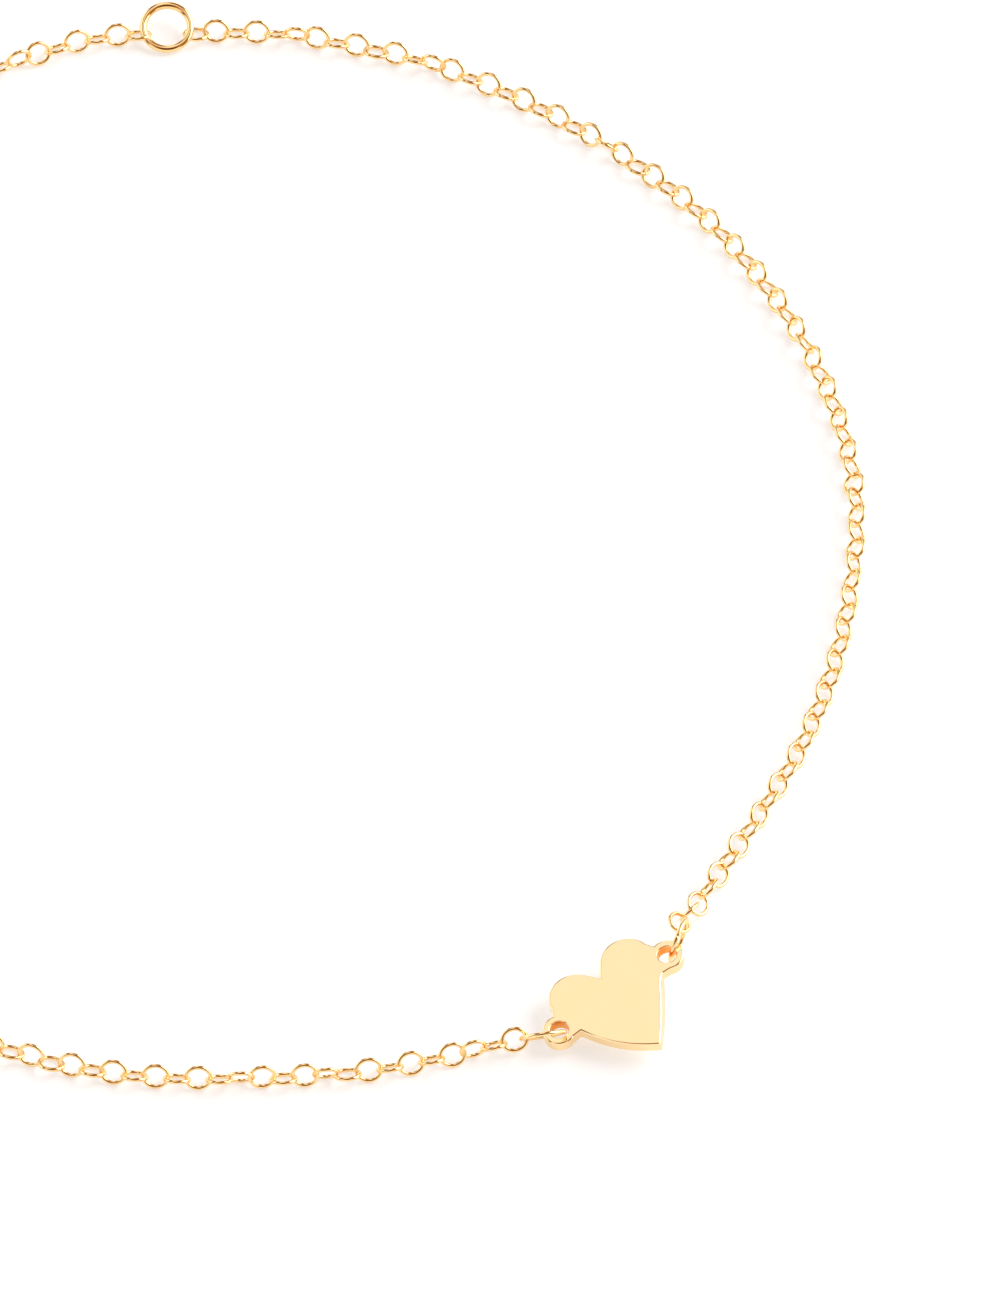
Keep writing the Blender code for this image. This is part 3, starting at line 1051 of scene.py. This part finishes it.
@dataclass
class Necklace:
    """The whole necklace, from the heart plate out to the clasp and the end ring.

    A ring's two sizes are its diameter and its wire. A heart ring's place is its middle, its X and its Z.
    """

    right: Route = field(
        default_factory=lambda: Route((
            (48.45, -49.25, 2.9), (49.4, -47.6, 2.1), (50.3, -45.85, 1.35), (51.7, -43.3, 1.12), (53.4, -40.2, 1.12),
            (57.4, -32.9), (61.5, -24.1), (64.9, -12.4), (66.6, 1.8), (65.6, 12.8), (62.4, 23.6), (57.3, 33.9),
            (51.3, 42.4), (43.2, 50.3), (33.1, 57.6), (22.3, 62.9), (11.2, 65.9), (5.0, 66.6), (-0.42, 66.7),
        ))
    )
    extension: Route = field(
        default_factory=lambda: Route(((-6.34, 66.4), (-12.1, 65.4), (-20.0, 62.2), (-30.0, 57.6), (-41.0, 50.7)))
    )
    left: Route = field(
        default_factory=lambda: Route((
            (32.32, -62.47, 1.36), (30.4, -62.95, 1.12), (26.2, -64.1), (18.2, -65.9), (8.3, -66.8), (-2.1, -66.7),
            (-10.3, -65.4), (-17.7, -63.1), (-34.0, -56.6), (-50.5, -46.4), (-64.0, -32.6), (-73.8, -15.0),
            (-79.2, 5.0), (-80.6, 25.0), (-80.0, 43.5),
        ))
    )
    jump_ring: tuple[float, float] = (4.8, 0.45)
    adjuster_ring: tuple[float, float] = (5.65, 0.78)
    end_ring: tuple[float, float] = (5.65, 0.62)
    clasp_ring: tuple[float, float] = (3.8, 0.5)
    clasp_ring_lean: float = 20.0
    ring_cut: float = 0.08
    heart_ring_cut_at: float = 80.0
    left_ring_place: tuple[Vector, Vector, Vector] = (
        Vector((35.05, -62.45, 2.08)), Vector((0.988, 0.121, 0.095)), Vector((-0.153, 0.826, 0.542)),
    )
    right_ring_place: tuple[Vector, Vector, Vector] = (
        Vector((48.34, -51.78, 3.31)), Vector((0.352, 0.738, 0.577)), Vector((0.927, -0.359, -0.107)),
    )
    adjuster_ring_up: Vector = Vector((0, -0.309, 0.951))
    end_ring_up: Vector = Vector((0, -0.070, 0.998))

    def rings(self) -> list[WireRing]:
        """Measures up every ring of the necklace.

        Returns:
            The rings, unbuilt.
        """
        _, along = self.left.at(self.left.lengths[-1])
        leaning = turned(-self.clasp_ring_lean, along).to_3x3() @ Vector((0, 0, 1)).cross(along)
        heart_rings = [
            WireRing(name, name, *self.jump_ring, axes(*place), cut=self.ring_cut, cut_at=self.heart_ring_cut_at)
            for name, place in (("heart_ring_left", self.left_ring_place), ("heart_ring_right", self.right_ring_place))
        ]
        clasp_ring_place = axes(box_middle("clasp_ring"), along, leaning)
        clasp_ring = WireRing("clasp_ring", "clasp_ring", *self.clasp_ring, clasp_ring_place, cut=self.ring_cut)
        closed_rings = [
            WireRing(name, name, *sizes, axes(box_middle(name), Vector((1, 0, 0)), up))
            for name, sizes, up in (
                ("adjuster_ring", self.adjuster_ring, self.adjuster_ring_up),
                ("end_ring", self.end_ring, self.end_ring_up),
            )
        ]
        return [*heart_rings, clasp_ring, *closed_rings]

    def build(self) -> None:
        """Builds every piece."""
        HeartPlate().build()
        for ring in self.rings():
            ring.build()
        link = CableLink().model()
        ChainArm("chain_right", 8, self.right, 20, 11, "right_run_{}_bend", strays=(64, 71)).build(link)
        ChainArm("chain_extension", 2, self.extension, 45, 12, "extension_run_{}_bend", strays=(6,)).build(link)
        ChainArm("chain_left", 10, self.left, -33, 13, "left_run_{}_bend", strays=(2, 9, 13)).build(link)
        bpy.data.objects.remove(link)
        LobsterClasp().build()


# ------------------------------------------------------------------------------------------------ studio


@dataclass(frozen=True)
class Glow:
    """A colour of light and how strong it is."""

    colour: str
    strength: float

    def node(self, tree: bpy.types.NodeTree) -> bpy.types.NodeSocket:
        """Puts the light in a node tree.

        Args:
            tree: The node tree.

        Returns:
            The output that gives its colour times its strength.
        """
        r, g, b, _ = linear(self.colour)
        return add_node(
            tree, "ShaderNodeCombineColor", {0: r * self.strength, 1: g * self.strength, 2: b * self.strength}
        ).outputs[0]


@dataclass(frozen=True)
class TentPanel:
    """A round, soft-edged part of the light tent.

    Attributes:
        towards: Where its middle lies, seen from the necklace.
        reach: How many degrees from its middle it ends.
        softness: Over how many degrees it fades.
        glow: Its light.
    """

    towards: tuple[float, float, float]
    reach: float
    softness: float
    glow: Glow

    def over(
        self, tree: bpy.types.NodeTree, way: bpy.types.NodeSocket, under: bpy.types.NodeSocket
    ) -> bpy.types.NodeSocket:
        """Lays the panel over the light behind it.

        Args:
            tree: The world's node tree.
            way: The direction that is looked in.
            under: The light behind the panel.

        Returns:
            The light with the panel in it.
        """
        middle = Vector(self.towards).normalized()
        nearness = add_node(tree, "ShaderNodeVectorMath", {0: way, 1: middle}, operation="DOT_PRODUCT")
        inside = add_node(
            tree, "ShaderNodeMapRange",
            {
                "Value": nearness.outputs["Value"],
                "From Min": math.cos(math.radians(self.reach + self.softness / 2)),
                "From Max": math.cos(math.radians(self.reach - self.softness / 2)),
            },
            interpolation_type="SMOOTHSTEP",
        )
        return add_node(
            tree, "ShaderNodeMix",
            {MIX_SHARE: inside.outputs[0], MIX_FIRST: under, MIX_SECOND: self.glow.node(tree)}, data_type="RGBA",
        ).outputs[MIX_RESULT]


@dataclass
class Studio:
    """A pale, faintly backlit table in a white light tent, seen from above.

    Attributes:
        aim: The point on the table that the camera aims at.
        elevation: How steeply the camera looks down, in degrees.
        distance: How far the camera is from that point.
        table_cloud: The table's colour in its darker patches.
        table_cloud_mm: The size of those patches.
        panels: The tent's walls and openings, each laid over the ones before it.
        key_spread: How wide the key light looks from the table, in degrees.
    """

    aim: Vector = Vector((31.2, -12.9, 0.0))
    elevation: float = 52.0
    distance: float = 1400.0
    lens: float = 391.4
    table_size: float = 8000.0
    table_colour: str = "#CACBCE"
    table_cloud: str = "#C8C9CC"
    table_cloud_mm: float = 125.0
    table_backlight: float = 0.52
    roof: Glow = Glow("#FFFFFF", 1.08)
    panels: tuple[TentPanel, ...] = (
        TentPanel((0.91, 0.31, 0.26), 66.0, 8.0, Glow("#B4824A", 0.75)),
        TentPanel((0.91, 0.31, 0.26), 40.0, 5.0, Glow("#FFFFFF", 2.2)),
        TentPanel((-0.92, 0.31, 0.2), 54.0, 6.0, Glow("#85551F", 0.5)),
        TentPanel((-0.92, 0.31, 0.2), 39.0, 5.0, Glow("#FFFFFF", 1.4)),
        TentPanel((0.0, -0.616, 0.788), 34.0, 14.0, Glow("#C08A44", 0.85)),
        TentPanel((0.0, -0.616, 0.788), 19.0, 10.0, Glow("#6B3A10", 0.4)),
    )
    key_power: float = 1.25
    key_spread: float = 40.0
    key_from: Vector = Vector((0.62, 0.28, 0.6))

    def build(self) -> None:
        """Sets up the table, the light and the camera."""
        self.table()
        self.light_tent()
        self.key()
        self.camera()
        bpy.context.scene.view_settings.view_transform = "Standard"

    def table(self) -> None:
        """Lays the matt white acrylic table top, lit faintly from below so that shadows stay pale."""
        bpy.ops.mesh.primitive_plane_add(size=self.table_size * MM)
        table = new_piece("table_top")
        made = bpy.data.materials.new("backlit_white_acrylic")
        made.use_nodes = True
        tree = made.node_tree
        shader = tree.nodes["Principled BSDF"]
        shader.inputs["Roughness"].default_value = 0.6
        shader.inputs["Specular IOR Level"].default_value = 0.1
        shader.inputs["Emission Color"].default_value = linear("#FFFFFF")
        shader.inputs["Emission Strength"].default_value = self.table_backlight
        place = add_node(tree, "ShaderNodeTexCoord", {}).outputs["Object"]
        fineness = 1 / (MM * self.table_cloud_mm)
        patches = add_node(tree, "ShaderNodeTexNoise", {"Vector": place, "Scale": fineness, "Detail": 2.0})
        colour = add_node(
            tree, "ShaderNodeMix",
            {
                MIX_SHARE: patches.outputs[0],
                MIX_FIRST: linear(self.table_colour),
                MIX_SECOND: linear(self.table_cloud),
            },
            data_type="RGBA",
        )
        tree.links.new(colour.outputs[MIX_RESULT], shader.inputs["Base Color"])
        table.data.materials.append(made)

    def light_tent(self) -> None:
        """Hangs the white tent, with its lit walls and the opening that the camera looks through."""
        world = bpy.data.worlds.new("light_tent")
        bpy.context.scene.world = world
        world.use_nodes = True
        tree = world.node_tree
        way = add_node(tree, "ShaderNodeTexCoord", {}).outputs["Generated"]
        light = self.roof.node(tree)
        for panel in self.panels:
            light = panel.over(tree, way, light)
        tree.links.new(light, tree.nodes["Background"].inputs["Color"])

    def key(self) -> None:
        """Sets the soft key light that comes through the tent's right wall."""
        light = bpy.data.lights.new("key_light", "SUN")
        light.angle = math.radians(self.key_spread)
        light.energy = self.key_power
        light.color = linear("#FFFFFF")[:3]
        lamp = bpy.data.objects.new("key_light", light)
        lamp.rotation_euler = self.key_from.to_track_quat("Z", "Y").to_euler()
        bpy.context.collection.objects.link(lamp)

    def camera(self) -> None:
        """Sets the camera high in front of the necklace."""
        data = bpy.data.cameras.new("camera")
        data.lens = self.lens
        data.clip_start, data.clip_end = 0.05, 20.0
        camera = bpy.data.objects.new("camera", data)
        angle = math.radians(self.elevation)
        back = Vector((0.0, -math.cos(angle), math.sin(angle)))
        camera.location = (self.aim + CIRCLE_MIDDLE + back * self.distance) * MM
        camera.rotation_euler = (math.pi / 2 - angle, 0.0, 0.0)
        bpy.context.collection.objects.link(camera)
        bpy.context.scene.camera = camera


def main() -> None:
    """Builds the necklace and its studio, and logs each piece's face count as it is handed over."""
    logging.basicConfig(level=logging.INFO, format="%(message)s", stream=sys.stdout)
    Necklace().build()
    Studio().build()


if __name__ == "__main__":
    main()
